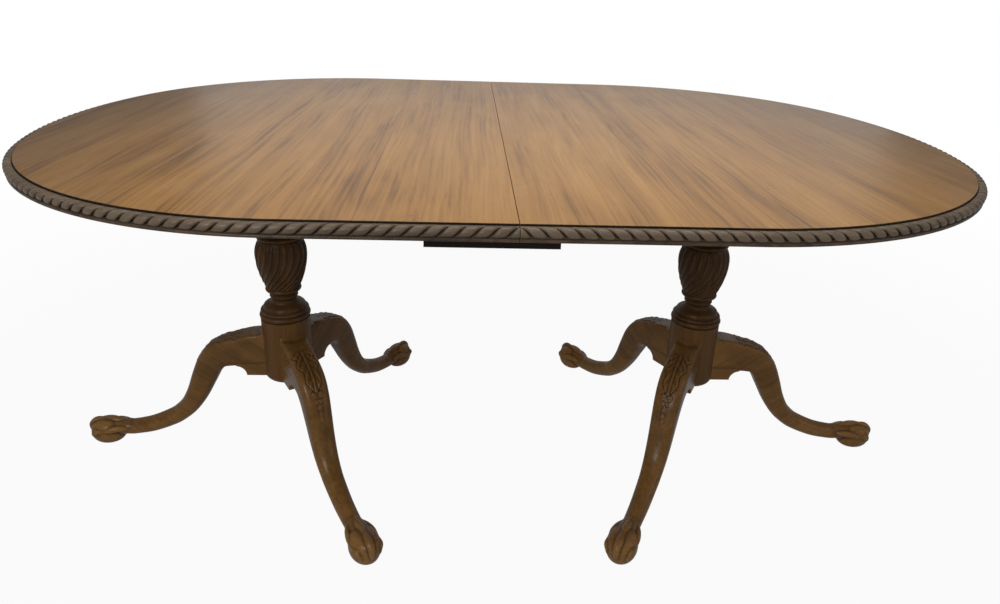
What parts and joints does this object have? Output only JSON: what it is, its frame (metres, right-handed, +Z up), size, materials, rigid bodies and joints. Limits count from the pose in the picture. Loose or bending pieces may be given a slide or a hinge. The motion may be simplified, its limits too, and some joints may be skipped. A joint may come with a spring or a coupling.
{
  "type": "double pedestal dining table",
  "caption": "Oval dining table on two tripod pedestals with cabriole legs and claw feet; the top parts at a middle seam and its halves draw apart on wooden runners.",
  "frame": {"origin": "on the floor under the middle of the seam", "axes": "+Z up, +X along the table towards the right half, -Y towards the pictured front"},
  "size_m": [1.771, 1.22, 0.73],
  "materials": {
    "top_veneer": "red-brown mahogany veneer under a satin lacquer",
    "edge_wood": "dark stained carved mahogany, satin",
    "base_wood": "dark stained turned and carved mahogany, satin",
    "rest_wood": "nearly black stained hardwood, matt",
    "runner_wood": "plain waxed hardwood",
    "screw_steel": "plain steel"
  },
  "bodies": {
    "left_half": {"top_left": "top_veneer", "rope_edge_left": "edge_wood", "bearer_left": "runner_wood", "bearer_screws_left": "screw_steel", "column_left": "base_wood", "hub_left": "base_wood", "leg_left_outer": "base_wood", "leg_left_front": "base_wood", "leg_left_rear": "base_wood", "runner_left_front": "runner_wood", "runner_left_rear": "runner_wood", "runner_screws_left": "screw_steel", "slide_keys_left": "runner_wood", "seam_rest_front": "rest_wood", "seam_rest_rear": "rest_wood", "rest_screws": "screw_steel", "seam_dowels": "runner_wood"},
    "middle_runners": {"runner_middle_front": "runner_wood", "runner_middle_rear": "runner_wood", "runner_tie": "runner_wood", "tie_screws": "screw_steel"},
    "right_half": {"top_right": "top_veneer", "rope_edge_right": "edge_wood", "bearer_right": "runner_wood", "bearer_screws_right": "screw_steel", "column_right": "base_wood", "hub_right": "base_wood", "leg_right_outer": "base_wood", "leg_right_front": "base_wood", "leg_right_rear": "base_wood", "runner_right_front": "runner_wood", "runner_right_rear": "runner_wood", "runner_screws_right": "screw_steel", "slide_keys_right": "runner_wood"}
  },
  "joints": [
    {"name": "left_slide", "type": "slide", "parent": "left_half", "child": "middle_runners", "axis": [1, 0, 0], "range_m": [0, 0.2285]},
    {"name": "right_slide", "type": "slide", "parent": "middle_runners", "child": "right_half", "axis": [1, 0, 0], "range_m": [0, 0.2285]}
  ]
}
